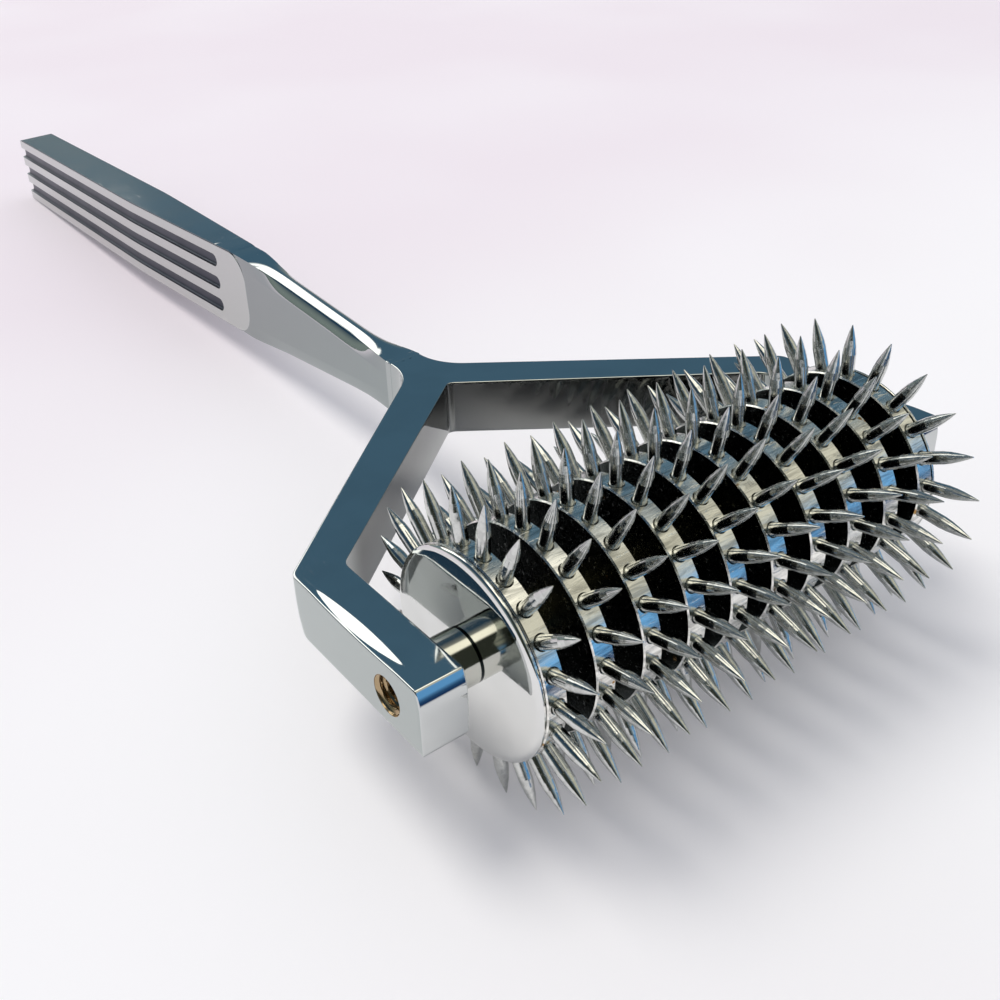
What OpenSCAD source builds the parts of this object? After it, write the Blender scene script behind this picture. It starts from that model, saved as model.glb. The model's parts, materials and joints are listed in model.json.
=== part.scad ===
// Neurological pinwheel: a wide roller of spiked wheels, carried in a one-piece Y fork with a grooved grip.
// Each wheel turns by itself on one axle, with a bush ring between it and the next wheel.
// Millimetres. X runs along the roller, Y towards the butt of the handle, Z up.
// The tool lies as it does on a table: on the lowest spikes and on the lower corner of its butt.

/* [Wheels] */
// Number of spiked wheels side by side
wheel_count = 10; // [2:1:12]
// Diameter of a wheel over its rim
wheel_d = 19; // [16:0.5:26]
// Width of a wheel, which is also the width of its rim
wheel_w = 2; // [1.8:0.1:3]
// Open gap between two wheels
wheel_gap = 3; // [1.5:0.1:5]
// Chamfer on both edges of a rim
rim_chamfer = 0.12; // [0.05:0.01:0.2]
// Radial clearance between the axle and a turning wheel
wheel_clear = 0.05; // [0.02:0.01:0.1]

/* [Spikes] */
// Number of spikes round one wheel
spike_count = 22; // [8:1:24]
// Diameter of a spike's straight part
spike_d = 1.24; // [0.8:0.02:1.3]
// Length of a spike that stands out of the rim
spike_proud = 5.1; // [3:0.1:7]
// Length of the ground point, measured back from the tip
spike_point = 2.9; // [1.5:0.1:4]
// Diameter of the blunted tip
spike_tip_d = 0.1; // [0.06:0.02:0.3]
// Depth of the drilled seat that holds a spike
spike_seat = 2.5; // [1.5:0.1:3]
// Radial clearance of a spike in its seat
spike_clear = 0.03; // [0.01:0.01:0.05]
// Extra radius of the countersunk mouth of a seat
mouth_flare = 0.08; // [0.05:0.01:0.25]
// Depth of the countersunk mouth of a seat
mouth_depth = 0.15; // [0.1:0.05:0.6]

/* [Axle] */
// Diameter of the axle
axle_d = 3; // [2.4:0.1:4]
// Radial clearance of the axle in its bushes, rings, discs and arm tips
axle_clear = 0.03; // [0.01:0.01:0.08]
// How far each end of the axle stands back from the open thread in the tip
axle_recess = 0.3; // [0.1:0.1:1]
// Width of the driver slot in the axle's end
slot_w = 0.6; // [0.4:0.1:1]
// Depth of the driver slot in the axle's end
slot_depth = 0.7; // [0.3:0.1:1]
// Outside diameter of the bush rings and end bushes
bush_d = 5; // [4.6:0.1:8]
// Length of the end bush between an arm and the end disc
end_bush_len = 3; // [1.5:0.1:6]
// End play between a turning wheel and each ring beside it
side_play = 0.05; // [0.02:0.01:0.2]

/* [End discs] */
// How far the edge of an end disc stands inside the rim of a wheel
disc_inset = 0; // [0:0.1:3]
// Thickness of an end disc
disc_t = 0.55; // [0.4:0.05:1.5]
// Gap between an end disc and the wheel beside it
disc_gap = 0.12; // [0.05:0.01:0.5]

/* [Fork] */
// Height of the arms
arm_h = 6.6; // [5:0.1:10]
// Thickness of the slanting part of an arm at its bend
arm_t = 4; // [3:0.1:6]
// Thickness of the slanting part of an arm at the neck
arm_root_t = 5.1; // [3:0.1:7]
// Thickness of an arm's tip along the axle
tip_t = 4.6; // [3.6:0.1:7]
// Length of a tip in front of the axle
tip_front = 4.6; // [3.5:0.05:8]
// Length of a tip behind the axle, up to the inner bend
tip_back = 13; // [8:0.5:20]
// Clear space between the spikes and the crotch of the fork
throat = 19.8; // [15:0.2:40]
// Diameter of the open thread in the outer face of a tip
thread_d = 3.5; // [3.3:0.1:4.5]
// Length of the open thread
thread_len = 2.4; // [1.5:0.1:3]
// Radius of the hollow corner between the neck and an arm
hub_fillet = 7; // [3:0.5:10]

/* [Handle] */
// Width of the neck where it leaves the fork
neck_w = 4.2; // [3:0.1:6]
// Length of the neck
neck_len = 38; // [20:1:70]
// Height of the grip
grip_h = 12.5; // [9:0.1:16]
// Width of the grip
grip_w = 6.7; // [5:0.1:10]
// Width of the grip at its start
waist_w = 3.8; // [3:0.1:5]
// How far each side of the grip stands out from the neck at its start
shoulder_step = 0.15; // [0.1:0.05:0.6]
// Length of the grip
grip_len = 98.5; // [60:0.5:120]
// Length over which the grip widens from its start
grip_flare = 38; // [10:1:50]
// Corner radius where the grip starts, seen from the side
shoulder_r = 4; // [1:0.5:5]
// Corner radius of the butt, seen from the side
butt_r = 2.5; // [1:0.5:5]
// Number of grooves in each side of the grip
groove_count = 3; // [1:1:4]
// Width of a groove
groove_w = 2; // [1:0.1:2.4]
// Distance between the middles of two grooves
groove_pitch = 3.6; // [2.6:0.1:3.6]
// Depth of a groove
groove_depth = 0.6; // [0.2:0.05:0.8]
// Distance from the start of the grip to the start of the grooves
groove_start = 8; // [4:0.5:20]

/* [Hidden] */
// How far each wheel happens to be turned, in degrees up from the front
TURNED = [3, 10, 12, 9, 12, 14, 10, 10, 0, 9];
// Steps along each rounded corner
ARC_STEPS = 10;
// Steps round the oval neck, and how square its section is: 2 is an ellipse
OVAL_STEPS = 40;
OVAL_POWER = 3;
// How far the root of the oval neck lies inside the faces of the fork
INSET = 0.1;
// Half the height of the flat left in the middle of a groove's rounded end
GROOVE_END_FLAT = 0.01;
// How far a cutting shape runs past the face that it cuts
OVER = 1;
// Steps along the ground point of a spike, and how full its curve is
POINT_STEPS = 4;
POINT_POWER = 1.5;

pitch = wheel_w + wheel_gap;
roller_l = wheel_count * wheel_w + (wheel_count - 1) * wheel_gap;
wheel_r = wheel_d / 2;
sweep_r = wheel_r + spike_proud;
axle_r = axle_d / 2;
fixed_bore_r = axle_r + axle_clear;

disc_in_x = roller_l / 2 + disc_gap;
disc_out_x = disc_in_x + disc_t;
tip_in_x = disc_out_x + end_bush_len;
tip_out_x = tip_in_x + tip_t;
thread_in_x = tip_out_x - thread_len;
axle_end_x = thread_in_x - axle_recess;

crotch_y = sweep_r + throat;
arm_angle = atan2(crotch_y - tip_back, tip_in_x);
bend_out_y = tip_back - tip_t * tan(arm_angle) + arm_t / cos(arm_angle);
hub_y = crotch_y + arm_root_t / cos(arm_angle) - neck_w / 2 * tan(arm_angle);
outer_angle = atan2(hub_y - bend_out_y, tip_out_x - neck_w / 2);
corner_reach = hub_fillet / tan((90 + outer_angle) / 2);
neck_y = hub_y + corner_reach;
grip_y = neck_y + neck_len;
butt_y = grip_y + grip_len;

// The tilt at which the butt's rounded lower corner reaches the table
corner_y = butt_y - butt_r;
corner_z = grip_h / 2 - butt_r;
rest_tilt = asin((sweep_r - butt_r) / norm([corner_y, corner_z])) - atan2(corner_z, corner_y);
front_y = -sweep_r;
back_y = corner_y * cos(rest_tilt) - corner_z * sin(rest_tilt) + butt_r;
middle_y = (front_y + back_y) / 2;

function two_digits(i) = str(i < 10 ? "0" : "", i);
function wheel_name(i) = str("wheel_", two_digits(i));
function spikes_name(i) = str("spikes_", two_digits(i));
function ring_name(i) = str("bush_ring_", two_digits(i));
function wheel_x(i) = (i - (wheel_count + 1) / 2) * pitch;
function turned(i) = TURNED[(i - 1) % len(TURNED)];

$fn = 48;

// Puts a piece from the tool's own frame, centred on the axle, into its place on the table
module lying() {
    translate([0, -middle_y, sweep_r]) rotate([-rest_tilt, 0, 0]) children();
}

// A cylinder along X from x1 to x2
module rod(r, x1, x2) {
    translate([x1, 0, 0]) rotate([0, 90, 0]) cylinder(r = r, h = x2 - x1);
}

// A tube along X from x1 to x2
module tube(r_out, r_in, x1, x2) {
    difference() {
        rod(r_out, x1, x2);
        rod(r_in, x1 - OVER, x2 + OVER);
    }
}

// Turns a flat shape drawn in Y and Z into a bar of width w, centred across X
module side_bar(w) {
    rotate([90, 0, 90]) linear_extrude(w, center = true) children();
}

// Points along an arc, from angle a to angle b
function arc(centre, r, a, b) =
    [for (k = [0:ARC_STEPS]) let (t = a + (b - a) * k / ARC_STEPS) centre + r * [cos(t), sin(t)]];

// The same points on the other side of the middle plane, in the opposite order
function mirrored(points) = [for (k = [len(points) - 1:-1:0]) [-points[k][0], points[k][1]]];

// Flat rectangle from a to b, centred on the other axis, with its own corner radius at each end
module rounded_bar(a, b, h, r_a, r_b) {
    polygon(concat(
        arc([a + r_a, h / 2 - r_a], r_a, 180, 90), arc([b - r_b, h / 2 - r_b], r_b, 90, 0),
        arc([b - r_b, r_b - h / 2], r_b, 0, -90), arc([a + r_a, r_a - h / 2], r_a, -90, -180)
    ));
}

// The two tips, the two arms and the root of the neck, seen from above
module fork_plate() {
    right_side = concat(
        [[tip_in_x, tip_back], [tip_in_x, -tip_front], [tip_out_x, -tip_front], [tip_out_x, bend_out_y]],
        arc([neck_w / 2 + hub_fillet, neck_y], hub_fillet, 270 - outer_angle, 180)
    );
    linear_extrude(arm_h, center = true) polygon(concat([[0, crotch_y]], right_side, mirrored(right_side)));
}

// One coordinate of a point of the oval, from the sine or cosine of its angle
function oval(c) = sign(c) * pow(abs(c), 2 / OVAL_POWER);

// One oval ring of points round the neck, square to its length
function neck_ring(y, half_w, half_h) =
    [for (k = [0:OVAL_STEPS - 1])
        let (a = 360 * k / OVAL_STEPS) [half_w * oval(cos(a)), y, half_h * oval(sin(a))]];

// The neck is oval, and deepens from the fork to just before the shoulder of the grip
module neck() {
    end_w = waist_w / 2 - shoulder_step;
    end_h = grip_h / 2 - shoulder_step;
    rings = [
        neck_ring(hub_y, neck_w / 2 - INSET, arm_h / 2 - INSET),
        neck_ring(grip_y - shoulder_r, end_w, end_h),
        neck_ring(grip_y + shoulder_r / 2, end_w, end_h)
    ];
    n = OVAL_STEPS;
    last = (len(rings) - 1) * n;
    polyhedron(
        points = [for (ring = rings) each ring],
        faces = concat(
            [[for (k = [n - 1:-1:0]) k]],
            [for (r = [0:len(rings) - 2], k = [0:n - 1]) [r * n + k, r * n + (k + 1) % n, (r + 1) * n + k]],
            [for (r = [0:len(rings) - 2], k = [0:n - 1])
                [r * n + (k + 1) % n, (r + 1) * n + (k + 1) % n, (r + 1) * n + k]],
            [[for (k = [0:n - 1]) last + k]]
        )
    );
}

// The grip's outline seen from above, taken in by inset on both sides
module grip_plan(inset, end_y) {
    right_side = [[waist_w / 2 - inset, grip_y - OVER], [waist_w / 2 - inset, grip_y],
                  [grip_w / 2 - inset, grip_y + grip_flare], [grip_w / 2 - inset, end_y]];
    polygon(concat(right_side, mirrored(right_side)));
}

module grip_groove(z) {
    difference() {
        translate([0, 0, z]) side_bar(grip_w + OVER)
            rounded_bar(grip_y + groove_start, butt_y + 3 * OVER, groove_w,
                        groove_w / 2 - GROOVE_END_FLAT, groove_w / 4);
        linear_extrude(groove_w * 2 + 2 * abs(z) + OVER, center = true)
            grip_plan(groove_depth, butt_y + 4 * OVER);
    }
}

module grip() {
    difference() {
        intersection() {
            side_bar(grip_w + OVER) rounded_bar(grip_y, butt_y, grip_h, shoulder_r, butt_r);
            linear_extrude(grip_h + OVER, center = true) grip_plan(0, butt_y + OVER);
        }
        for (i = [1:groove_count]) grip_groove((i - (groove_count + 1) / 2) * groove_pitch);
    }
}

module fork() {
    color("lightsteelblue") lying() difference() {
        union() {
            fork_plate();
            neck();
            grip();
        }
        for (s = [0, 1]) mirror([s, 0, 0]) {
            rod(fixed_bore_r, tip_in_x - OVER, tip_out_x);
            rod(thread_d / 2, thread_in_x, tip_out_x + OVER);
        }
    }
}

module axle() {
    color("silver") lying() difference() {
        rod(axle_r, -axle_end_x, axle_end_x);
        for (s = [-1, 1]) translate([s * axle_end_x, 0, 0])
            cube([2 * slot_depth, axle_d + OVER, slot_w], center = true);
    }
}

module end_bush(side) {
    color("silver") lying() mirror([side < 0 ? 1 : 0, 0, 0])
        tube(bush_d / 2, fixed_bore_r, disc_out_x, tip_in_x);
}

module end_disc(side) {
    color("lightsteelblue") lying() mirror([side < 0 ? 1 : 0, 0, 0])
        tube(wheel_r - disc_inset, fixed_bore_r, disc_in_x, disc_out_x);
}

module bush_ring(i) {
    color("darkkhaki") lying()
        tube(bush_d / 2, fixed_bore_r,
             wheel_x(i) + wheel_w / 2 + side_play, wheel_x(i + 1) - wheel_w / 2 - side_play);
}

// Places a shape that stands along Z at each spike's seat round wheel i
module at_spikes(i) {
    for (j = [0:spike_count - 1])
        translate([wheel_x(i), 0, 0]) rotate([90 - turned(i) - j * 360 / spike_count, 0, 0]) children();
}

// The drilled seat of one spike, with its countersunk mouth, standing along Z
module spike_hole() {
    r = spike_d / 2 + spike_clear;
    translate([0, 0, wheel_r - spike_seat]) cylinder(r = r, h = spike_seat + OVER);
    translate([0, 0, wheel_r - mouth_depth])
        cylinder(r1 = r, r2 = r + 2 * mouth_flare, h = 2 * mouth_depth);
}

module wheel(i) {
    color("silver") lying() difference() {
        translate([wheel_x(i), 0, 0]) rotate([0, 90, 0]) rotate_extrude() polygon([
            [axle_r + wheel_clear, -wheel_w / 2], [wheel_r - rim_chamfer, -wheel_w / 2],
            [wheel_r, -wheel_w / 2 + rim_chamfer], [wheel_r, wheel_w / 2 - rim_chamfer],
            [wheel_r - rim_chamfer, wheel_w / 2], [axle_r + wheel_clear, wheel_w / 2]
        ]);
        at_spikes(i) spike_hole();
    }
}

// A spike's radius at a share t of its ground point, from 0 at the straight part to 1 at the tip
function point_r(t) = spike_tip_d / 2 + (spike_d - spike_tip_d) / 2 * (1 - pow(t, POINT_POWER));

// One turned spike standing along Z, from the bottom of its seat to its tip
module spike() {
    foot = wheel_r - spike_seat;
    start = sweep_r - spike_point;
    rotate_extrude() polygon(concat(
        [[0, foot], [spike_d / 2, foot]],
        [for (k = [0:POINT_STEPS]) [point_r(k / POINT_STEPS), start + spike_point * k / POINT_STEPS]],
        [[0, sweep_r]]
    ));
}

module spikes(i) {
    color("gainsboro") lying() at_spikes(i) spike();
}

fork();
axle();
end_bush(-1);  // end_bush_left
end_bush(1);  // end_bush_right
end_disc(-1);  // end_disc_left
end_disc(1);  // end_disc_right
for (i = [1:wheel_count]) wheel(i);
for (i = [1:wheel_count]) spikes(i);
for (i = [1:wheel_count - 1]) bush_ring(i);
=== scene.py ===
"""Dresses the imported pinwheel: a wide roller of spiked wheels in a polished one-piece Y fork."""

import json
import math

import bpy
import bmesh
from mathutils import Matrix, Vector


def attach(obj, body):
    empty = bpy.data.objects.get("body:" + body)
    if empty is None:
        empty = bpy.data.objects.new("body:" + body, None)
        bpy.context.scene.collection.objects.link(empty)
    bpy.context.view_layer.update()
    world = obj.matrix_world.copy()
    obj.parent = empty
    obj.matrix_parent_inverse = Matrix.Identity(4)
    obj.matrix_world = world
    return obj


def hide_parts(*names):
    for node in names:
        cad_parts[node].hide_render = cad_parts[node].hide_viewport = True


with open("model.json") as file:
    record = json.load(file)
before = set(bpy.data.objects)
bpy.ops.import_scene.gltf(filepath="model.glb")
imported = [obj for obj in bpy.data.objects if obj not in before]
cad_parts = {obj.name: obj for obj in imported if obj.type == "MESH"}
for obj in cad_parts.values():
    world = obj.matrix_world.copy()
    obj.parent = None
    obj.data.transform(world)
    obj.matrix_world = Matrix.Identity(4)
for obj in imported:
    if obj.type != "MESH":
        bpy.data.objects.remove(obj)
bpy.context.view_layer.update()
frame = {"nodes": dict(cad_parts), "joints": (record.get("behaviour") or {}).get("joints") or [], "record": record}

# The tool's own frame. Lengths are in millimetres: the origin is the middle of the axle, X runs along the roller,
# Y towards the butt and Z up, before the tool is laid on its spikes and butt. They repeat the sizes of the solids.
MM = 0.001
AXLE_POINT = Vector(frame["joints"][0]["pos_m"])
REST_TILT = math.radians(2.71277)
LYING = Matrix.Translation((0, AXLE_POINT.y, AXLE_POINT.z)) @ Matrix.Rotation(-REST_TILT, 4, "X")
TOOL = LYING @ Matrix.Scale(MM, 4)

TIP_IN, TIP_OUT = 27.17, 31.77
TIP_FRONT, TIP_BACK, BEND_OUT = -4.6, 13.0, 14.4686
CROTCH, HUB = 34.4, 39.2379
DISC_OUT, DISC_T, DISC_R = 24.17, 0.55, 9.5
AXLE_BORE_R = 1.53
ARM_H = 6.6
NECK_W = 2.1
NECK_START = 42.5128
GRIP_START, BUTT = 80.5128, 179.0128
GRIP_H, GRIP_W, WAIST_W = 6.25, 3.35, 1.9
GRIP_FLARE = 38.0
THREAD_R, THREAD_LEN = 1.75, 2.4
HUB_FILLET = 7.0


def smooth(t):
    """A soft step from 0 to 1."""
    t = max(0.0, min(1.0, t))
    return t * t * (3 - 2 * t)


# Camera, as solved from the photo: focal length and image centre in pixels, place and turn in the tool's frame
IMAGE_PX = 1000
SENSOR_MM = 36.0
CLIP_M = (0.001, 20.0)
FOCAL_PX = 1122.8
CENTRE_PX = (363.1, 414.9)
CAM_AT = Vector((-65.165, -57.783, 61.454))
CAM_TURN = Vector((1.0634, -0.2329, -0.5636))


def add_camera():
    """Puts the camera where the photo was taken from."""
    data = bpy.data.cameras.new("camera")
    cam = bpy.data.objects.new("camera", data)
    bpy.context.scene.collection.objects.link(cam)
    data.sensor_width = SENSOR_MM
    data.lens = FOCAL_PX / IMAGE_PX * data.sensor_width
    data.shift_x = (IMAGE_PX / 2 - CENTRE_PX[0]) / IMAGE_PX
    data.shift_y = (CENTRE_PX[1] - IMAGE_PX / 2) / IMAGE_PX
    data.clip_start, data.clip_end = CLIP_M
    turn = Matrix.Rotation(CAM_TURN.length, 4, CAM_TURN.normalized())
    cam.matrix_world = LYING @ Matrix.Translation(CAM_AT * MM) @ turn
    bpy.context.scene.camera = cam


class Nodes:
    """Short ways to add and join shader nodes."""

    def __init__(self, tree):
        self.tree = tree
        tree.nodes.clear()

    def add(self, kind, inputs=None, **props):
        n = self.tree.nodes.new(kind)
        for k, v in props.items():
            setattr(n, k, v)
        for k, v in (inputs or {}).items():
            self.put(n.inputs[k], v)
        return n

    def put(self, socket, v):
        if isinstance(v, bpy.types.NodeSocket):
            self.tree.links.new(v, socket)
        else:
            socket.default_value = v

    def math(self, op, a, b=0.0, clamp=False):
        return self.add("ShaderNodeMath", {0: a, 1: b}, operation=op, use_clamp=clamp).outputs[0]

    def vec(self, op, a, b=(0, 0, 0)):
        n = self.add("ShaderNodeVectorMath", {0: a, 1: b}, operation=op)
        return n.outputs[1] if op in ("DOT_PRODUCT", "LENGTH") else n.outputs[0]

    def span(self, v, lo, hi, to_lo=0.0, to_hi=1.0):
        """A soft step from to_lo, where v is lo, to to_hi, where v is hi."""
        return self.add("ShaderNodeMapRange", {0: v, 1: lo, 2: hi, 3: to_lo, 4: to_hi},
                        interpolation_type="SMOOTHSTEP").outputs[0]

    def mix(self, t, a, b):
        n = self.add("ShaderNodeMix", data_type="RGBA")
        self.put(n.inputs[0], t)
        self.put(n.inputs[6], a)
        self.put(n.inputs[7], b)
        return n.outputs[2]

    def noise(self, coords, scale, detail=2.0, rough=0.5, distort=0.0):
        return self.add("ShaderNodeTexNoise", {"Vector": coords, "Scale": scale, "Detail": detail,
                                               "Roughness": rough, "Distortion": distort}).outputs[0]

    def stretched(self, coords, scales, turn=(0, 0, 0)):
        return self.add("ShaderNodeMapping", {"Vector": coords, "Scale": scales, "Rotation": turn}).outputs[0]

    def split(self, vector):
        """The three parts of a vector."""
        return self.add("ShaderNodeSeparateXYZ", {0: vector}).outputs

    def surface(self, what):
        """Something that Geometry knows of the surface, such as Position."""
        return self.add("ShaderNodeNewGeometry").outputs[what]


def rgb(r, g, b):
    """A colour as node sockets want it."""
    return (r, g, b, 1.0)


def toned(tone, share=1.0):
    """A tone, or a darker share of it."""
    return rgb(*(share * c for c in tone))


# Steel. Noise scales are per metre, and depths are in metres.
BROAD_SCALE, FINE_SCALE, LINE_SCALE, SPECK_SCALE, WORN_SCALE = 170.0, 2600.0, 900.0, 5200.0, 1500.0
WAVE_SCALE, WAVE_DEPTH, SCRATCH_DEPTH = 260.0, 1.2e-5, 2.2e-6
LINE_STRETCH, LINE_TURN = 2.3, (0.2, 0.1, 0.3)
LINE_DULL, SPECK_DULL = 0.12, 0.15
FINE_HEIGHT, LINE_HEIGHT = 0.5, -0.6
# Shares of a steel's tone in its soft clouds, where it is worn and where shade is painted on it
CLOUD_TONE, WORN_TONE, SHADED_TONE = 0.93, 0.38, 0.20


def steel(name, tone, rough, scratch=0.3, along=(1, 1, 1), wave=1.0, painted_face_shade=None, stain=None,
          depth=SCRATCH_DEPTH, shaded=None, mottle=0.0):
    """Polished steel: soft waves in the polish, fine scratches along one direction, and a little dullness.

    rough is the lowest and highest roughness. The tone given to faces that look along the roller is a painted shade,
    stain is a tint and where it lies, shaded says where painted shade darkens the steel, and mottle is how strongly
    it is worn.
    """
    mat = bpy.data.materials.new(name)
    mat.use_nodes = True
    n = Nodes(mat.node_tree)
    at = n.add("ShaderNodeTexCoord").outputs["Object"]
    grain = n.stretched(at, along)
    askew = n.stretched(at, tuple(LINE_STRETCH * a for a in along), LINE_TURN)
    broad = n.noise(at, BROAD_SCALE, 2.0)
    fine = n.noise(grain, FINE_SCALE, 3.0, 0.6)
    lines = n.span(n.noise(askew, LINE_SCALE, 4.0, 0.7, 0.2), 0.60, 0.72)
    specks = n.span(n.noise(at, SPECK_SCALE, 1.0), 0.70, 0.76)
    dull = n.math("ADD", n.math("MULTIPLY", broad, rough[1] - rough[0]), rough[0])
    dull = n.math("ADD", dull, n.math("MULTIPLY", lines, LINE_DULL * scratch))
    dull = n.math("ADD", dull, n.math("MULTIPLY", specks, SPECK_DULL * scratch), clamp=True)
    colour = n.mix(n.span(broad, 0.35, 0.7), toned(tone), toned(tone, CLOUD_TONE))
    if mottle:
        worn = n.span(n.noise(grain, WORN_SCALE, 4.0, 0.7, 0.6), 0.40, 0.66, 0.0, mottle)
        colour = n.mix(worn, colour, toned(tone, WORN_TONE))
    # Painted shade: faces that look along the roller take a darker tone
    if painted_face_shade:
        across = n.math("ABSOLUTE", n.split(n.surface("True Normal"))[0])
        colour = n.mix(n.span(across, 0.9, 0.97), colour, toned(painted_face_shade))
    # Painted shade: darker where the shaded mask says
    if shaded:
        colour = n.mix(shaded(n), colour, toned(tone, SHADED_TONE))
    if stain:
        tint, where = stain
        colour = n.mix(where(n, at), colour, toned(tint))
    height = n.math("ADD", n.math("MULTIPLY", fine, FINE_HEIGHT * scratch),
                    n.math("MULTIPLY", lines, LINE_HEIGHT * scratch))
    low = n.add("ShaderNodeBump", {"Strength": wave, "Distance": WAVE_DEPTH,
                                   "Height": n.noise(at, WAVE_SCALE, 1.0)})
    bump = n.add("ShaderNodeBump", {"Strength": 1.0, "Distance": depth, "Height": height,
                                    "Normal": low.outputs[0]})
    body = n.add("ShaderNodeBsdfPrincipled", {"Base Color": colour, "Metallic": 1.0, "Roughness": dull,
                                              "Normal": bump.outputs[0]})
    out = n.add("ShaderNodeOutputMaterial")
    mat.node_tree.links.new(body.outputs[0], out.inputs[0])
    return mat


# The fork's plate, seen from above: radii of its corners
CROTCH_R, INNER_BEND_R, TIP_CORNER_R, NECK_CORNER_R = 0.9, 1.6, 0.16, 0.05
# The outer bend has a small radius on top, which grows by so much towards the underside
BEND_R, BEND_R_MORE = 1.4, 2.2
# Where the plate's stub ends, inside the neck
STUB_END = NECK_START + 1.4
# How many points the outer edge of a tip has for its worn facet, and where they end
OUTER_COUNT, OUTER_END = 26, 11.6
# The smallest radius that an inset corner keeps
LEAST_R = 0.02


def corner_points(a, b, c, r, t, steps):
    """The rounded corner at b of an outline that runs a, b, c with its inside on the left, moved inwards by t."""
    u, v = (b - a).normalized(), (c - b).normalized()
    nu, nv = Vector((-u.y, u.x)), Vector((-v.y, v.x))
    if u.dot(v) > 0.9999:
        return [b + nu * t]
    convex = u.x * v.y - u.y * v.x > 0
    rho = max(r - t, LEAST_R) if convex else r + t
    reach = t + rho if convex else t - rho
    bisector = (nu + nv).normalized()
    centre = b + bisector * (reach / bisector.dot(nu))
    side = -1 if convex else 1
    start, end = nu * side * rho, nv * side * rho
    turn = math.atan2(start.x * end.y - start.y * end.x, start.dot(end))
    return [centre + Matrix.Rotation(turn * k / steps, 2) @ start for k in range(steps + 1)]


def plate_outline(t, z):
    """The outline of the fork from above at height z, moved inwards by t."""
    bend_r = BEND_R + BEND_R_MORE * smooth(-z / (ARM_H / 2))
    first = TIP_FRONT + max(0.5, t + 0.2)
    edge = [(TIP_OUT, first + (OUTER_END - first) * k / OUTER_COUNT, 0.0, 0) for k in range(OUTER_COUNT + 1)]
    right = [(0.0, CROTCH, CROTCH_R, 6), (TIP_IN, TIP_BACK, INNER_BEND_R, 8), (TIP_IN, TIP_FRONT, TIP_CORNER_R, 3),
             (TIP_OUT, TIP_FRONT, TIP_CORNER_R, 3)] + edge
    right += [(TIP_OUT, BEND_OUT, bend_r, 8), (NECK_W, HUB, HUB_FILLET, 20), (NECK_W, STUB_END, NECK_CORNER_R, 1)]
    left = [(-x, y, r, k) for x, y, r, k in reversed(right) if x > 0]
    every = [(Vector((x, y)), r, k) for x, y, r, k in right + left]
    out = []
    for i, (b, r, k) in enumerate(every):
        out += corner_points(every[i - 1][0], b, every[(i + 1) % len(every)][0], r, t, k)
    return out


# Rounding of the plate's top and bottom edges
EDGE, UNDER_EDGE = 0.13, 0.55
# Rounding of a tip's front towards its top: its radius, the height where it starts, and how far back it reaches
FRONT_ROUND, FRONT_ROUND_FROM, FRONT_REACH = 5.0, 1.1, 2.2
# Rounding of the lower inner corner of a tip's front
CORNER_R = 1.0
# The worn facet on the outer top edge of a tip: its ends along the tip, its slope, its widest half width, how far in
# its middle lies at the back, and how much further in at the front
LENS_Y = (-1.4, 11.4)
LENS_SLOPE, LENS_HALF = 0.23, 0.52
LENS_MIDDLE, LENS_DRIFT = 0.66, 0.40
# Heights of the rings on the plate's sides, and insets of the rings on its top
SIDE_RINGS = (-1.0, 0.6, FRONT_ROUND_FROM, 1.6, 1.95, 2.25, 2.5, 2.75, 2.95)
TOP_RINGS = (0.22, 0.32, 0.44, 0.56, 0.68, 0.8, 0.92, 1.04, 1.16, 1.28, 1.4, 1.55, 1.7)


def front_shift(y, z):
    """How far the front end of a tip is rounded back near its top edge."""
    if z <= FRONT_ROUND_FROM:
        return 0.0
    s = min((z - FRONT_ROUND_FROM) / FRONT_ROUND, 1.0)
    near = 1 - smooth((y - TIP_FRONT) / FRONT_REACH)
    return FRONT_ROUND * (1 - math.sqrt(1 - s * s)) * near


def corner_shift(x, y, z):
    """How far the lower inner corner of a tip's front end is rounded away from the roller."""
    s = max(0.0, min(1.0, (CORNER_R - ARM_H / 2 - z) / CORNER_R))
    if not TIP_IN - 1 < abs(x) < (TIP_IN + TIP_OUT) / 2 or y >= TIP_FRONT + 3:
        return 0.0
    return math.copysign(CORNER_R * (1 - math.sqrt(1 - s * s)), x)


def lens_drop(x, y, inset):
    """How far the worn facet lowers the top near the outer edge of a tip."""
    t = (y - LENS_Y[0]) / (LENS_Y[1] - LENS_Y[0])
    if abs(x) < (TIP_IN + TIP_OUT) / 2 - 0.2 or not 0 < t < 1:
        return 0.0
    half = LENS_HALF * math.sin(math.pi * t) ** 0.8
    middle = LENS_MIDDLE + LENS_DRIFT * (1 - t) ** 2
    return LENS_SLOPE * max(0.0, min(2 * half, middle + half - inset))


def add_rings(bm, rings, closed_ends=True):
    """Skins a list of rings of points into a tube."""
    made = [[bm.verts.new(p) for p in ring] for ring in rings]
    count = len(made[0])
    for low, high in zip(made, made[1:]):
        for k in range(count):
            bm.faces.new((low[k], low[(k + 1) % count], high[(k + 1) % count], high[k]))
    if closed_ends:
        bm.faces.new(list(reversed(made[0])))
        bm.faces.new(made[-1])
    return made


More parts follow.
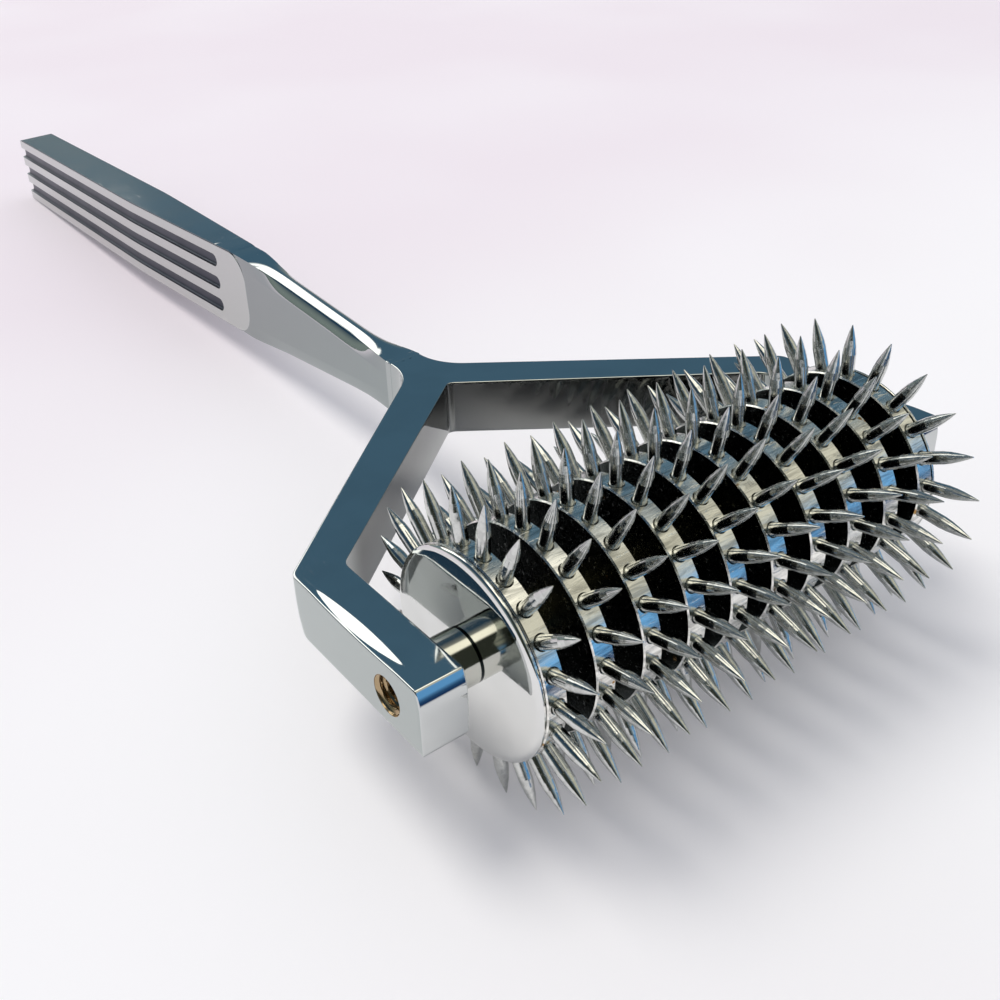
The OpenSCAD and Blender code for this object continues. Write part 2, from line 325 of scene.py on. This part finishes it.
def plate_mesh():
    """The fork's tips, arms and hub, as rings of its outline from the underside to the top."""
    half = ARM_H / 2
    levels = []
    for k in range(5):
        a = math.pi / 2 * (1 - k / 4)
        levels.append((UNDER_EDGE * (1 - math.cos(a)), -half + UNDER_EDGE * (1 - math.sin(a))))
    levels += [(0.0, z) for z in SIDE_RINGS]
    for k in range(4):
        a = math.pi / 2 * k / 3
        levels.append((EDGE * (1 - math.cos(a)), half - EDGE * (1 - math.sin(a))))
    levels += [(inset, half) for inset in TOP_RINGS]
    bm = bmesh.new()
    rings = []
    for inset, z in levels:
        ring = []
        for p in plate_outline(inset, z):
            worn = lens_drop(p.x, p.y, inset) * smooth((z - 1.0) / (half - 1.0))
            ring.append((p.x + corner_shift(p.x, p.y, z), p.y + front_shift(p.y, z), z - worn))
        rings.append(ring)
    add_rings(bm, rings)
    return to_mesh(bm, "fork_plate")


def to_mesh(bm, name):
    bmesh.ops.remove_doubles(bm, verts=bm.verts, dist=1e-4)
    bmesh.ops.recalc_face_normals(bm, faces=bm.faces)
    mesh = bpy.data.meshes.new(name)
    bm.to_mesh(mesh)
    bm.free()
    return mesh


# Neck. A station is its y, half width, half height and roundness.
NECK_STATIONS = [
    (NECK_START + 0.3, 2.103, 3.303, 0.0), (44.3, 2.06, 3.32, 0.1), (46.2, 2.0, 3.42, 0.38),
    (48.6, 1.95, 3.62, 0.76), (51.0, 1.93, 3.84, 0.96), (53.0, 1.91, 4.02, 1.0), (60.0, 1.88, 4.64, 1.0),
    (68.0, 1.87, 5.33, 1.0), (71.0, 1.87, 5.57, 0.92), (74.0, 1.87, 5.80, 0.66), (77.5, 1.87, 6.01, 0.26),
    (80.6, 1.88, 6.14, 0.0), (86.0, 1.88, 6.16, 0.0),
]
NECK_RINGS = 72
# Tilt of the neck's surface in degrees at a distance in millimetres from the middle of its top
NECK_TILT = [(0.0, 0.0), (0.12, 12.0), (1.17, 45.0), (1.37, 58.0), (2.67, 70.0), (2.9, 84.0)]
SECTION_STEPS = 29
# The step at which the section turns its corner, and how much of the roundness its underside has
CORNER_STEP = 12
UNDER_ROUND = 0.45


def station(y):
    """Half width, half height and roundness of the neck at y, on a smooth curve through the stations."""
    s = NECK_STATIONS
    i = max(0, min(len(s) - 2, sum(1 for p in s if p[0] <= y) - 1))
    p0, p1, p2, p3 = s[max(i - 1, 0)], s[i], s[i + 1], s[min(i + 2, len(s) - 1)]
    t = (y - p1[0]) / (p2[0] - p1[0])
    out = []
    for k in (1, 2, 3):
        m1 = (p2[k] - p0[k]) / (p2[0] - p0[0]) * (p2[0] - p1[0])
        m2 = (p3[k] - p1[k]) / (p3[0] - p1[0]) * (p2[0] - p1[0])
        out.append((2 * t ** 3 - 3 * t ** 2 + 1) * p1[k] + (t ** 3 - 2 * t ** 2 + t) * m1
                   + (3 * t ** 2 - 2 * t ** 3) * p2[k] + (t ** 3 - t ** 2) * m2)
    return out


def rounded_profile():
    """Points down one side of the rounded neck from the middle of its top, as offsets across and down."""
    across, down = 0.0, 0.0
    pts = [(0.0, 0.0)]
    step = NECK_TILT[-1][0] / SECTION_STEPS
    for i in range(SECTION_STEPS):
        at = (i + 0.5) * step
        (s0, b0), (s1, b1) = next((p, q) for p, q in zip(NECK_TILT, NECK_TILT[1:]) if p[0] <= at <= q[0])
        tilt = math.radians(b0 + (b1 - b0) * (at - s0) / (s1 - s0))
        across += step * math.cos(tilt)
        down += step * math.sin(tilt)
        pts.append((across, down))
    return pts


def neck_quarter(w, h, roundness):
    """Points from the middle of the top to the middle of one side, between a rectangle and the rounded section."""
    profile = rounded_profile()
    wide, deep = profile[-1]
    pts = []
    for i, (x, down) in enumerate(profile):
        below = (i - CORNER_STEP) / (SECTION_STEPS - CORNER_STEP)
        square = (w * i / CORNER_STEP, h) if i <= CORNER_STEP else (w, h - deep * below)
        pts.append((square[0] + (x * w / wide - square[0]) * roundness,
                    square[1] + (h - down - square[1]) * roundness))
    return pts + [(w, (h - deep) * 0.5)]


def neck_mesh():
    """The neck, from the hub to inside the grip."""
    bm = bmesh.new()
    first, last = NECK_STATIONS[0][0], NECK_STATIONS[-1][0]
    rings = []
    for i in range(NECK_RINGS + 1):
        y = first + (last - first) * i / NECK_RINGS
        w, h, roundness = station(y)
        roundness = max(0.0, min(1.0, roundness))
        upper, lower = neck_quarter(w, h, roundness), neck_quarter(w, h, roundness * UNDER_ROUND)
        ring = [(x, y, z) for x, z in upper] + [(x, y, -z) for x, z in reversed(lower)]
        ring += [(-x, y, -z) for x, z in lower[1:]] + [(-x, y, z) for x, z in reversed(upper[1:])]
        rings.append(ring)
    add_rings(bm, rings)
    return to_mesh(bm, "fork_neck")


# Grip. Heights of its grooves, their half width, depth and start, the share of the width where they get their full
# depth, and a groove's depth across its width.
GROOVES = (-3.6, 0.0, 3.6)
GROOVE_W, GROOVE_D, GROOVE_FROM = 1.0, 0.6, GRIP_START + 8.0
GROOVE_FULL = 0.35
GROOVE_U = [(-1.0, 0.0), (-0.93, 0.42), (-0.82, 0.76), (-0.6, 0.94), (-0.3, 0.99), (0.0, 1.0),
            (0.3, 0.99), (0.6, 0.94), (0.82, 0.76), (0.93, 0.42), (1.0, 0.0)]
# The flat margins above and below the grooves start here
MARGIN = 5.2
# Radii of the grip's front end and of its butt from the side and from above, and the rounding of its edges
TONGUE_R, BUTT_R, BUTT_PLAN_R = 4.0, 2.5, 1.8
GRIP_EDGE, START_EDGE = 0.18, 0.08
# How much wider than a straight flare the grip is in the flare's middle
GRIP_BULGE = 0.12
# An edge's faces get painted shade within this share of its rounding and between these places along the grip
ON_EDGE = 0.95
EDGE_FROM, EDGE_TO = GRIP_START + 2.5, BUTT - 3


def grip_half_height(y):
    """Half the grip's height at y, which rounds off at both ends."""
    if y < GRIP_START + TONGUE_R:
        s = GRIP_START + TONGUE_R - y
        return GRIP_H - TONGUE_R + math.sqrt(max(TONGUE_R ** 2 - s * s, 0))
    if y > BUTT - BUTT_R:
        s = y - BUTT + BUTT_R
        return GRIP_H - BUTT_R + math.sqrt(max(BUTT_R ** 2 - s * s, 0))
    return GRIP_H


def grip_half_width(y):
    """Half the grip's width at y, which flares from the waist."""
    t = max(0.0, min(1.0, (y - GRIP_START) / GRIP_FLARE))
    return WAIST_W + (GRIP_W - WAIST_W) * (t + GRIP_BULGE * t * (1 - t))


def grip_side(y, shrink):
    """Points of one side of the grip's section at y, made smaller by shrink, from its bottom edge to its top."""
    h, w = grip_half_height(y) - shrink, grip_half_width(y) - shrink
    past = max(0.0, y - BUTT + BUTT_PLAN_R)
    w -= BUTT_PLAN_R - math.sqrt(max(BUTT_PLAN_R ** 2 - past * past, 0.0))
    s = max(0.0, min(1.0, (y - GROOVE_FROM) / GROOVE_W))
    g = GROOVE_W * math.sqrt(max(0.0, 1 - (1 - s) ** 2))
    deep = GROOVE_D * min(1.0, g / (GROOVE_FULL * GROOVE_W))
    raw = [(-MARGIN, 0.0)]
    for z in GROOVES:
        raw += [(z + u * g, d * deep) for u, d in GROOVE_U]
    raw.append((MARGIN, 0.0))

    def depth_at(z):
        for (z0, d0), (z1, d1) in zip(raw, raw[1:]):
            if z0 <= z <= z1 and z1 > z0:
                return d0 + (d1 - d0) * (z - z0) / (z1 - z0)
        return 0.0

    top = h - GRIP_EDGE
    pts = []
    for k in range(4):
        a = math.pi / 2 * (1 - k / 4)
        pts.append((w - depth_at(-top) - GRIP_EDGE * (1 - math.cos(a)), -top - GRIP_EDGE * math.sin(a)))
    for z, d in raw:
        zc = max(-top, min(top, z))
        pts.append((w - (d if zc == z else depth_at(zc)), zc))
    for k in range(1, 5):
        a = math.pi / 2 * k / 4
        pts.append((w - depth_at(top) - GRIP_EDGE * (1 - math.cos(a)), top + GRIP_EDGE * math.sin(a)))
    return pts


def grip_mesh():
    """The grip, with rings close together where its ends round off and its grooves start."""
    ys = [GRIP_START + TONGUE_R * (1 - math.cos(math.pi / 2 * k / 14)) for k in range(15)]
    ys += [GRIP_START + 4 + k for k in (1.5, 3.0)]
    ys += [GROOVE_FROM - 0.05]
    ys += [GROOVE_FROM + GROOVE_W * (1 - math.cos(math.pi / 2 * k / 10)) for k in range(11)]
    ys += [GROOVE_FROM + 1 + 2.0 * k for k in range(1, 16)]
    ys += [GRIP_START + GRIP_FLARE + 4.0 * k for k in range(1, 15)]
    ys += [BUTT - BUTT_R * (1 - math.sin(math.pi / 2 * k / 12)) for k in range(13)]
    ys = sorted(set(round(y, 5) for y in ys))
    bm = bmesh.new()
    rings = []
    for y in ys:
        shrink = 0.0
        if y > BUTT - GRIP_EDGE:
            shrink = GRIP_EDGE - math.sqrt(max(GRIP_EDGE ** 2 - (y - BUTT + GRIP_EDGE) ** 2, 0))
        if y < GRIP_START + START_EDGE:
            shrink = START_EDGE - math.sqrt(max(START_EDGE ** 2 - (GRIP_START + START_EDGE - y) ** 2, 0))
        side = grip_side(y, shrink)
        rings.append([(x, y, z) for x, z in side] + [(-x, y, z) for x, z in reversed(side)])
    add_rings(bm, rings)
    # Painted shade: faces in the grooves and on the long edges take the dark second material
    for f in bm.faces:
        c = f.calc_center_median()
        w, h = grip_half_width(c.y), grip_half_height(c.y)
        in_groove = abs(c.x) < w - 0.1 and abs(c.z) < 5 and GROOVE_FROM + 0.1 < c.y < BUTT - BUTT_PLAN_R
        on_edge = abs(c.z) > h - ON_EDGE * GRIP_EDGE and abs(c.x) > w - ON_EDGE * GRIP_EDGE
        if in_groove or (on_edge and EDGE_FROM < c.y < EDGE_TO):
            f.material_index = 1
    return to_mesh(bm, "fork_grip")


# Threads: pitch and height of the turns, where they are full, the mouth's chamfer, the bottom's share of the radius,
# and the radius and length of the cutter that opens the mouth
THREAD_PITCH, CREST, RUN_IN = 0.6, 0.34, 0.45
CHAMFER, CHAMFER_LEN, BOTTOM = 0.05, 0.2, 0.45
HOLE_R, CUTTER_LEN = THREAD_R + 0.06, 3.2
# How far the mouth lies inside the tip's outer face, and how far its flange reaches past the hole
SUNK, FLANGE = 0.01, 0.1


def thread_mesh(side):
    """The turns of the open thread in the outer face of one tip, with the mouth's small chamfer."""
    sides, rows = 72, 60
    bm = bmesh.new()
    rings = []
    for i in range(rows + 1):
        deep = THREAD_LEN * i / rows
        ring = []
        for k in range(sides):
            a = 2 * math.pi * k / sides
            phase = (deep / THREAD_PITCH + k / sides) % 1.0
            crest = (1 - abs(2 * phase - 1)) ** 0.8
            cut = CREST * crest * smooth(deep / RUN_IN)
            r = THREAD_R + CHAMFER * (1 - smooth(deep / CHAMFER_LEN)) - cut
            ring.append((side * (TIP_OUT - SUNK - deep), r * math.cos(a), r * math.sin(a)))
        rings.append(ring)
    rings.append([(x, BOTTOM * y, BOTTOM * z) for x, y, z in rings[-1]])
    made = add_rings(bm, rings, closed_ends=False)
    bm.faces.new(made[-1])
    outer = []
    for v in made[0]:
        wider = (HOLE_R + FLANGE) / math.hypot(v.co.y, v.co.z)
        outer.append(bm.verts.new((side * (TIP_OUT - SUNK), wider * v.co.y, wider * v.co.z)))
    for k in range(sides):
        bm.faces.new((outer[k], outer[(k + 1) % sides], made[0][(k + 1) % sides], made[0][k]))
    return to_mesh(bm, "thread")


# End discs: how far in from the rim the outer face rolls over, how deep it gets, the inner face's small edge, and the
# width of the band that has the wheels' scratched steel
RIM_ROUND, RIM_DEPTH, RIM_EDGE, RIM_BAND = 0.8, 0.38, 0.03, 0.2


def disc_mesh(side):
    """A thin washer whose outer face rolls over at the rim."""
    sides, steps = 160, 10
    profile = [(DISC_OUT, AXLE_BORE_R), (DISC_OUT, 4.0), (DISC_OUT, DISC_R - RIM_ROUND - 0.5)]
    for k in range(steps + 1):
        a = math.pi / 2 * k / steps
        profile.append((DISC_OUT - RIM_DEPTH * (1 - math.cos(a)), DISC_R - RIM_ROUND * (1 - math.sin(a))))
    back = DISC_OUT - DISC_T
    profile += [(back + RIM_EDGE, DISC_R), (back, DISC_R - RIM_EDGE), (back, AXLE_BORE_R), (DISC_OUT, AXLE_BORE_R)]
    bm = bmesh.new()
    turns = [2 * math.pi * k / sides for k in range(sides)]
    rings = [[(side * x, r * math.cos(a), r * math.sin(a)) for a in turns] for x, r in profile]
    add_rings(bm, rings, closed_ends=False)
    mesh = to_mesh(bm, "end_disc")
    for p in mesh.polygons:
        if abs(p.normal.x) < 0.35 and math.hypot(p.center.y, p.center.z) > DISC_R - RIM_BAND:
            p.material_index = 1
    return mesh


def piece(name, mesh, material, body):
    """An object of the tool from a mesh in the tool's frame."""
    mesh.transform(TOOL)
    mesh.materials.append(material)
    for p in mesh.polygons:
        p.use_smooth = True
    obj = bpy.data.objects.new(name, mesh)
    bpy.context.scene.collection.objects.link(obj)
    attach(obj, body)
    return obj


def hard_edges(obj, angle):
    """Keeps edges sharp that turn by more than an angle, and flat faces flat beside small round ones."""
    obj.data.set_sharp_from_angle(angle=math.radians(angle))
    mod = obj.modifiers.new("normals", "WEIGHTED_NORMAL")
    mod.keep_sharp = True
    mod.weight = 90


def bore_holes(obj):
    """Opens the round mouths of the threads in the outer faces of the tips."""
    for side in (-1, 1):
        bm = bmesh.new()
        bmesh.ops.create_cone(bm, cap_ends=True, segments=72, radius1=HOLE_R * MM, radius2=HOLE_R * MM,
                              depth=CUTTER_LEN * MM)
        across = Matrix.Translation((side * (TIP_OUT - 1.0) * MM, 0, 0)) @ Matrix.Rotation(math.pi / 2, 4, "Y")
        bmesh.ops.transform(bm, verts=bm.verts, matrix=LYING @ across)
        mesh = bpy.data.meshes.new("cutter")
        bm.to_mesh(mesh)
        bm.free()
        cutter = bpy.data.objects.new("cutter", mesh)
        bpy.context.scene.collection.objects.link(cutter)
        mod = obj.modifiers.new("hole", "BOOLEAN")
        mod.object = cutter
        mod.solver = "EXACT"
        bpy.context.view_layer.update()
        cut = bpy.data.meshes.new_from_object(obj.evaluated_get(bpy.context.evaluated_depsgraph_get()))
        obj.modifiers.clear()
        obj.data = cut
        bpy.data.objects.remove(cutter)


def inner_face_shade(n):
    """Painted shade for the dark roller that they mirror: the faces of the arms that look at the roller, darker
    towards their top edge.
    """
    ahead = n.math("MULTIPLY", n.split(n.surface("True Normal"))[1], -1.0)
    place = n.split(n.surface("Position"))
    behind_tips = n.span(place[1], AXLE_POINT.y + 12 * MM, AXLE_POINT.y + 16 * MM)
    towards_top = n.span(place[2], AXLE_POINT.z - 5 * MM, AXLE_POINT.z + 1 * MM, 0.72, 1.0)
    return n.math("MULTIPLY", n.math("MULTIPLY", n.span(ahead, 0.5, 0.7), behind_tips), towards_top)


FORK_TONE, FORK_ROUGH = (0.61, 0.63, 0.625), (0.025, 0.085)
LENGTHWISE = (1, 0.12, 1)
# The darker tones of side faces, and of the arms' inner faces, are painted shade
FORK_STEEL = steel("fork steel", FORK_TONE, FORK_ROUGH, 0.5, LENGTHWISE, painted_face_shade=(0.44, 0.475, 0.465),
                   shaded=inner_face_shade)
NECK_STEEL = steel("neck steel", FORK_TONE, FORK_ROUGH, 0.5, LENGTHWISE, painted_face_shade=(0.32, 0.36, 0.355))
GRIP_STEEL = steel("grip steel", (0.62, 0.63, 0.63), (0.05, 0.12), 0.5, LENGTHWISE, painted_face_shade=(0.57, 0.605, 0.58))
# Painted shade for the grooves and the grip's long edges
GROOVE_AND_EDGE_SHADE = steel("groove and edge shade", (0.06, 0.068, 0.088), (0.25, 0.4), 0.3)
THREAD_STEEL = steel("thread steel", (0.46, 0.34, 0.20), (0.10, 0.25), 0.6)


def add_fork():
    """The fork in three pieces, with the turns of the threads in its tips."""
    plate = piece("fork_body", plate_mesh(), FORK_STEEL, "fork_and_axle")
    bore_holes(plate)
    hard_edges(plate, 38)
    neck = piece("fork_neck", neck_mesh(), NECK_STEEL, "fork_and_axle")
    hard_edges(neck, 60)
    grip = piece("fork_grip", grip_mesh(), GRIP_STEEL, "fork_and_axle")
    grip.data.materials.append(GROOVE_AND_EDGE_SHADE)
    hard_edges(grip, 38)
    for o in (plate, neck, grip):
        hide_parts("fork")
    for side, word in ((-1, "left"), (1, "right")):
        thread = piece("thread_turns_" + word, thread_mesh(side), THREAD_STEEL, "fork_and_axle")
        hard_edges(thread, 50)


# Brown spots and the dark joint line, and how wide that line is
RUST_TINT, SEAM_TINT = (0.42, 0.24, 0.08), (0.015, 0.02, 0.02)
SEAM_W = 0.16


def rust(n, at):
    """Small brown spots."""
    return n.span(n.noise(at, 640.0, 2.0), 0.71, 0.76)


def seam(n, at):
    """The dark joint between an end bush and its disc."""
    x = n.split(n.surface("Position"))[0]
    return n.math("LESS_THAN", n.math("ABSOLUTE", x), (DISC_OUT + SEAM_W) * MM)


def dress_nodes():
    """Gives each carried-over CAD node its metal, and the end discs their rounded rims."""
    # The wheels' side faces get an almost black painted shade; the brown spots are rust
    rim = steel("wheel steel", (0.95, 0.94, 0.89), (0.10, 0.34), 1.0, (0.12, 1, 1), wave=1.6,
                painted_face_shade=(0.062, 0.070, 0.068), stain=(RUST_TINT, rust), depth=2.4e-5, mottle=0.75)
    pin = steel("spike steel", (0.66, 0.67, 0.65), (0.08, 0.22), 1.0, wave=2.4, depth=8e-6, mottle=0.35)
    disc = steel("disc steel", (0.76, 0.765, 0.75), (0.02, 0.06), 0.4, wave=0.5)
    bush = steel("bush steel", (0.66, 0.66, 0.61), (0.05, 0.16), 0.9, (0.2, 1, 1), stain=(SEAM_TINT, seam))
    ring = steel("ring steel", (0.70, 0.62, 0.38), (0.12, 0.28), 0.7)
    axle = steel("axle steel", (0.40, 0.37, 0.32), (0.15, 0.3), 0.7)
    by_slot = {"wheel_steel": rim, "spike_steel": pin, "disc_steel": disc, "bush_steel": bush, "ring_steel": ring,
               "axle_steel": axle, "fork_steel": FORK_STEEL}
    for row in frame["record"]["subparts"]:
        node = frame["nodes"][row["node"]]
        for slot in node.material_slots:
            slot.material = by_slot[row["material_slot"]]
    for side, word in ((-1, "left"), (1, "right")):
        washer = piece("disc_face_" + word, disc_mesh(side), disc, "fork_and_axle")
        washer.data.materials.append(rim)
        hard_edges(washer, 50)
        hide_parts("end_disc_" + word)


# Floor, world and light. Places on the floor are in metres.
FLOOR_SIZE = 3.0
# The paper's two tones behind the tool and two lighter ones ahead of it, lighter as painted light, its own faint
# glow, and that glow's share
PAPER_FAR = (0.87, 0.78, 0.82), (0.90, 0.83, 0.86)
PAPER_NEAR = (0.94, 0.91, 0.90), (0.97, 0.95, 0.94)
GLOW_TONE, PAPER_GLOW = (0.95, 0.94, 1.0), 0.10
# Where the paper turns from near to far, where it ends for mirrored rays, and where the glowing band that they see
# beyond it gets lighter
PAPER_Y, PAPER_END_Y, GLOW_BAND_Y = (-0.07, 0.05), (-0.120, -0.128), (-0.125, -0.22)
GLOW_BAND_X = (-0.030, -0.015)
GLOW_BAND_DARK, FRONT_BLUE = (0.012, 0.045, 0.13), (0.15, 0.42, 0.78)


def add_floor():
    """White paper, lighter ahead of the tool as painted light. Mirrored rays see it end ahead of the tool, and beyond
    it a dark blue glow, a painted reflection.
    """
    bpy.ops.mesh.primitive_plane_add(size=FLOOR_SIZE)
    floor = bpy.context.object
    floor.name = "floor"
    mat = bpy.data.materials.new("paper")
    mat.use_nodes = True
    n = Nodes(mat.node_tree)
    at = n.add("ShaderNodeTexCoord").outputs["Object"]
    place = n.split(n.surface("Position"))
    x, y = place[0], place[1]
    cloud = n.span(n.noise(at, 9.0, 2.0), 0.35, 0.65)
    far = n.mix(cloud, toned(PAPER_FAR[0]), toned(PAPER_FAR[1]))
    near = n.mix(cloud, toned(PAPER_NEAR[0]), toned(PAPER_NEAR[1]))
    # Painted light: the paper is lighter ahead of the tool than behind it
    colour = n.mix(n.span(y, *PAPER_Y), near, far)
    grain = n.add("ShaderNodeBump", {"Strength": 0.15, "Distance": 2e-5, "Height": n.noise(at, 3000.0, 3.0)})
    body = n.add("ShaderNodeBsdfPrincipled", {"Base Color": colour, "Roughness": 0.85,
                                              "Normal": grain.outputs[0]})
    body.inputs["Specular IOR Level"].default_value = 0.2
    glow = n.add("ShaderNodeEmission", {"Color": toned(GLOW_TONE), "Strength": 1.0})
    paths = n.add("ShaderNodeLightPath").outputs
    seen = n.math("MULTIPLY", paths["Is Camera Ray"], PAPER_GLOW)
    paper = n.add("ShaderNodeMixShader", {0: seen, 1: body.outputs[0], 2: glow.outputs[0]})
    # Painted reflection: a dark blue glow that only mirrored rays see beyond the paper's front edge
    blue = n.mix(n.span(y, *GLOW_BAND_Y), toned(GLOW_BAND_DARK), toned(FRONT_BLUE))
    mirrored_glow = n.add("ShaderNodeEmission", {"Color": blue, "Strength": 1.0})
    beyond = n.math("MULTIPLY", paths["Is Glossy Ray"], n.span(y, *PAPER_END_Y))
    beyond = n.math("MULTIPLY", beyond, n.span(x, *GLOW_BAND_X))
    both = n.add("ShaderNodeMixShader", {0: beyond, 1: paper.outputs[0], 2: mirrored_glow.outputs[0]})
    out = n.add("ShaderNodeOutputMaterial")
    mat.node_tree.links.new(both.outputs[0], out.inputs[0])
    floor.data.materials.append(mat)


# What polished steel sees: low and high on the walls, on the dark left and low on it, on the ceiling, high in front
# and at the front left corner, near its middle and further left
WALL_LOW, WALL_HIGH = (0.26, 0.30, 0.29), (0.070, 0.147, 0.215)
LEFT_DARK, LEFT_LOW = (0.025, 0.060, 0.105), (0.24, 0.29, 0.27)
CEILING, FRONT_HIGH = (0.34, 0.35, 0.32), (0.66, 0.64, 0.52)
CORNER_SLATE, CORNER_OLIVE = (0.12, 0.18, 0.22), (0.035, 0.04, 0.03)
# What plain surfaces and the camera see
STUDIO_TONE, CAMERA_TONE = (0.56, 0.585, 0.64), (1.0, 1.0, 1.0)
# Two windows behind the tool and one above: colour, direction of the middle, reach across and up, and softness
WINDOWS = [
    ((2.0, 2.0, 1.9), (0.02, 0.85, 0.50), (-0.48, 0.31), (-0.26, 0.12), 0.03),
    ((2.0, 2.0, 1.9), (0.02, 0.85, 0.50), (-0.42, 0.21), (0.0, 0.38), 0.03),
    ((1.9, 1.82, 1.55), (0.0, -0.06, 1.0), (-0.62, 0.62), (-0.26, 0.26), 0.08),
]


def add_world():
    """A pale studio to the camera and to plain surfaces. Polished steel sees a dim room with windows round it."""
    world = bpy.data.worlds.new("studio")
    bpy.context.scene.world = world
    world.use_nodes = True
    n = Nodes(world.node_tree)
    way = n.vec("NORMALIZE", n.add("ShaderNodeTexCoord").outputs["Generated"])
    parts = n.split(way)
    x, y, z = parts[0], parts[1], parts[2]
    room = n.mix(n.span(z, 0.02, 0.34), toned(WALL_LOW), toned(WALL_HIGH))
    room = n.mix(n.span(x, -0.30, -0.50), room, toned(LEFT_DARK))
    room = n.mix(n.math("MULTIPLY", n.span(x, -0.2, -0.4), n.span(z, 0.34, 0.10)), room, toned(LEFT_LOW))
    room = n.mix(n.span(z, 0.72, 0.9), room, toned(CEILING))
    front = n.span(y, 0.0, -0.35)
    sky = n.mix(n.span(z, 0.05, 0.42), toned(FRONT_BLUE), toned(FRONT_HIGH))
    corner = n.mix(n.span(x, -0.31, -0.37), toned(CORNER_SLATE), toned(CORNER_OLIVE))
    room = n.mix(front, room, n.mix(n.span(x, -0.05, 0.15), corner, sky))

    def window(base, colour, centre, us, vs, soft):
        """Adds a bright rectangle to the room."""
        c = Vector(centre).normalized()
        side = c.cross(Vector((0, 0, 1))).normalized()
        up = side.cross(c)
        ahead = n.math("MAXIMUM", n.vec("DOT_PRODUCT", way, tuple(c)), 0.01)
        u = n.math("DIVIDE", n.vec("DOT_PRODUCT", way, tuple(side)), ahead)
        v = n.math("DIVIDE", n.vec("DOT_PRODUCT", way, tuple(up)), ahead)
        mask = n.span(ahead, 0.05, 0.1)
        for w, (low, high) in ((u, us), (v, vs)):
            mask = n.math("MULTIPLY", mask, n.span(w, low - soft, low + soft))
            mask = n.math("MULTIPLY", mask, n.span(w, high + soft, high - soft))
        return n.mix(mask, base, toned(colour))

    for row in WINDOWS:
        room = window(room, *row)
    paths = n.add("ShaderNodeLightPath").outputs
    plain = n.mix(paths["Is Camera Ray"], toned(STUDIO_TONE), toned(CAMERA_TONE))
    colour = n.mix(paths["Is Glossy Ray"], plain, room)
    back = n.add("ShaderNodeBackground", {"Color": colour, "Strength": 1.0})
    out = n.add("ShaderNodeOutputWorld")
    world.node_tree.links.new(back.outputs[0], out.inputs[0])


# The lamp: width and distance in metres, watts, colour, and the way from the tool
LAMP_SIZE, LAMP_FAR, LAMP_W = 2.5, 5.0, 126.0
LAMP_TONE = (1.0, 0.98, 0.94)
LAMP_WAY = Vector((-0.20, 0.38, 0.90)).normalized()


def add_lamp():
    """One wide soft lamp high behind the tool."""
    data = bpy.data.lights.new("window light", "AREA")
    data.shape = "DISK"
    data.size = LAMP_SIZE
    data.energy = LAMP_W
    data.color = LAMP_TONE
    lamp = bpy.data.objects.new("window light", data)
    bpy.context.scene.collection.objects.link(lamp)
    lamp.location = LAMP_WAY * LAMP_FAR
    lamp.rotation_mode = "QUATERNION"
    lamp.rotation_quaternion = LAMP_WAY.to_track_quat("Z", "Y")
    lamp.visible_glossy = False


add_camera()
dress_nodes()
add_fork()
add_floor()
add_world()
add_lamp()
bpy.context.scene.view_settings.view_transform = "Standard"
